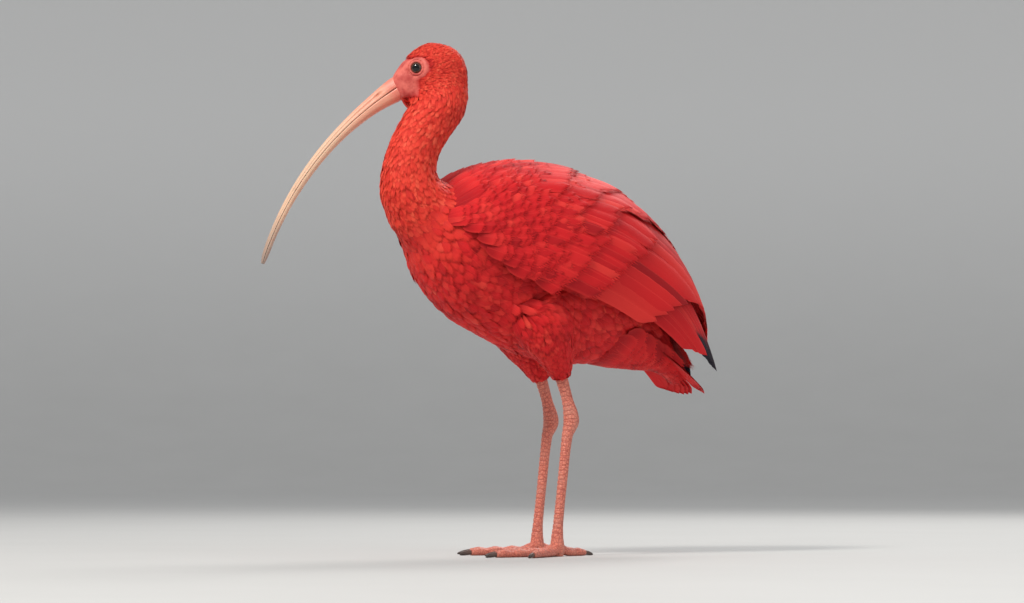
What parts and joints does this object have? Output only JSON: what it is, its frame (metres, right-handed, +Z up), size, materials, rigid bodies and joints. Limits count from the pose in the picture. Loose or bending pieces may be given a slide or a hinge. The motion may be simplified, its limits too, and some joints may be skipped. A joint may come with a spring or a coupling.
{
  "type": "scarlet ibis model",
  "caption": "Still, life-size model of a standing scarlet ibis with a long curved bill, head turned to its right and wings folded.",
  "frame": {"origin": "on the floor, below the middle of the whole bird's bounding box", "axes": "+Z up from the soles, +X the way the body faces, +Y to the bird's left"},
  "size_m": [0.3399, 0.1346, 0.367],
  "materials": {
    "body_plumage": "soft overlapping scarlet body feathers",
    "neck_plumage": "fine short orange-red feathers",
    "wing_plumage": "smooth scarlet flight feathers with a slight sheen",
    "dark_quills": "blue-black feather tips with a slight sheen",
    "bill": "satin horn, peach pink paling to cream",
    "leg_skin": "scaly coral-pink bare skin",
    "claws": "dark brown horn",
    "eyes": "wet dark brown"
  },
  "bodies": {
    "root": {"torso": "body_plumage", "neck_lower": "neck_plumage", "neck_upper": "neck_plumage", "head": "neck_plumage", "bill_upper": "bill", "bill_lower": "bill", "eye_left": "eyes", "eye_right": "eyes", "wing_left": "wing_plumage", "wing_right": "wing_plumage", "primaries_left": "dark_quills", "primaries_right": "dark_quills", "tail": "wing_plumage", "thigh_left": "body_plumage", "thigh_right": "body_plumage", "shank_left": "leg_skin", "shank_right": "leg_skin", "foot_left": "leg_skin", "foot_right": "leg_skin", "claw_left_middle": "claws", "claw_left_inner": "claws", "claw_left_outer": "claws", "claw_left_hind": "claws", "claw_right_middle": "claws", "claw_right_inner": "claws", "claw_right_outer": "claws", "claw_right_hind": "claws"}
  },
  "joints": []
}
